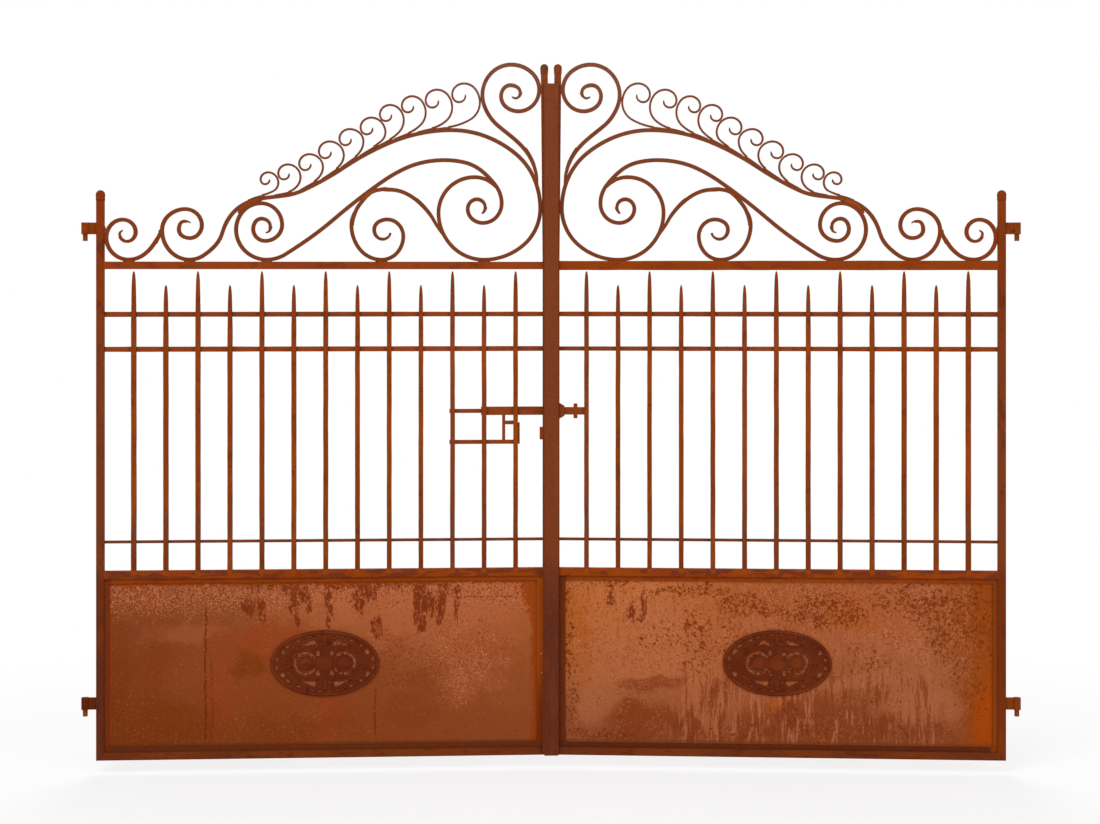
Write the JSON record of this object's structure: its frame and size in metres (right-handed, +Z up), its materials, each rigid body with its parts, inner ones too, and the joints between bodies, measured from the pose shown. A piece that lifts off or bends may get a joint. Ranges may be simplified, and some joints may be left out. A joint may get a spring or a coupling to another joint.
{
  "type": "double-leaf wrought iron driveway gate",
  "caption": "Pair of rusted wrought iron gate leaves with spear pickets, sheet panels with oval medallions, rising scrollwork and a sliding bolt, hung on hinge pins.",
  "frame": {"origin": "centre of the lower left hinge pin's bottom face, where it is held in the post", "axes": "+X along the shut gate to the right as seen from the front, +Y through the gate towards the side the leaves swing to, +Z up"},
  "size_m": [3.1, 0.1165, 2.3097],
  "materials": {
    "forged_frame": "heavily rusted wrought iron bar, rough orange-brown scale",
    "pickets": "heavily rusted square bar",
    "sheet": "rusted sheet with pits, runs and pinkish dusty patches",
    "medallion": "dark rusted casting",
    "scrollwork": "rusted forged bar",
    "cover_strip": "purple-brown rust on flat bar",
    "hinge": "rusted forged fittings"
  },
  "bodies": {
    "hinge_pins": {"hinge_pins": "hinge"},
    "left_leaf": {"left_hanging_stile": "forged_frame", "left_meeting_stile": "forged_frame", "left_top_rail": "forged_frame", "left_upper_light_rail": "forged_frame", "left_lower_light_rail": "forged_frame", "left_thin_rail": "forged_frame", "left_panel_rail": "forged_frame", "left_bottom_rail": "forged_frame", "left_pickets": "pickets", "left_sheet_panel": "sheet", "left_panel_border": "forged_frame", "left_medallion": "medallion", "left_outer_scroll": "scrollwork", "left_arch_scroll": "scrollwork", "left_long_scroll": "scrollwork", "left_middle_scroll": "scrollwork", "left_link_scroll": "scrollwork", "left_crest_scroll": "scrollwork", "left_ridge_curls": "scrollwork", "left_upper_hinge_eye": "hinge", "left_lower_hinge_eye": "hinge", "cover_strip": "cover_strip", "keeper_bar": "forged_frame", "lock_bars": "forged_frame", "strike_tab": "forged_frame"},
    "right_leaf": {"right_hanging_stile": "forged_frame", "right_meeting_stile": "forged_frame", "right_top_rail": "forged_frame", "right_upper_light_rail": "forged_frame", "right_lower_light_rail": "forged_frame", "right_thin_rail": "forged_frame", "right_panel_rail": "forged_frame", "right_bottom_rail": "forged_frame", "right_pickets": "pickets", "right_sheet_panel": "sheet", "right_panel_border": "forged_frame", "right_medallion": "medallion", "right_outer_scroll": "scrollwork", "right_arch_scroll": "scrollwork", "right_long_scroll": "scrollwork", "right_middle_scroll": "scrollwork", "right_link_scroll": "scrollwork", "right_crest_scroll": "scrollwork", "right_ridge_curls": "scrollwork", "right_upper_hinge_eye": "hinge", "right_lower_hinge_eye": "hinge", "bolt_collar": "hinge"},
    "sliding_bolt": {"bolt": "hinge"}
  },
  "joints": [
    {"name": "left_leaf_swing", "type": "hinge", "parent": "hinge_pins", "child": "left_leaf", "pos_m": [0, 0, 0], "axis": [0, 0, 1], "range_deg": [-3.4, 86.6]},
    {"name": "right_leaf_swing", "type": "hinge", "parent": "hinge_pins", "child": "right_leaf", "pos_m": [3.074, 0, 0], "axis": [0, 0, 1], "range_deg": [-86.6, 3.4]},
    {"name": "bolt_slide", "type": "slide", "parent": "right_leaf", "child": "sliding_bolt", "axis": [-0.9982, 0.0593, 0], "range_m": [0, 0.026]}
  ],
  "couplings": [
    {"joint": "right_leaf_swing", "follows": "left_leaf_swing", "ratio": -1}
  ]
}
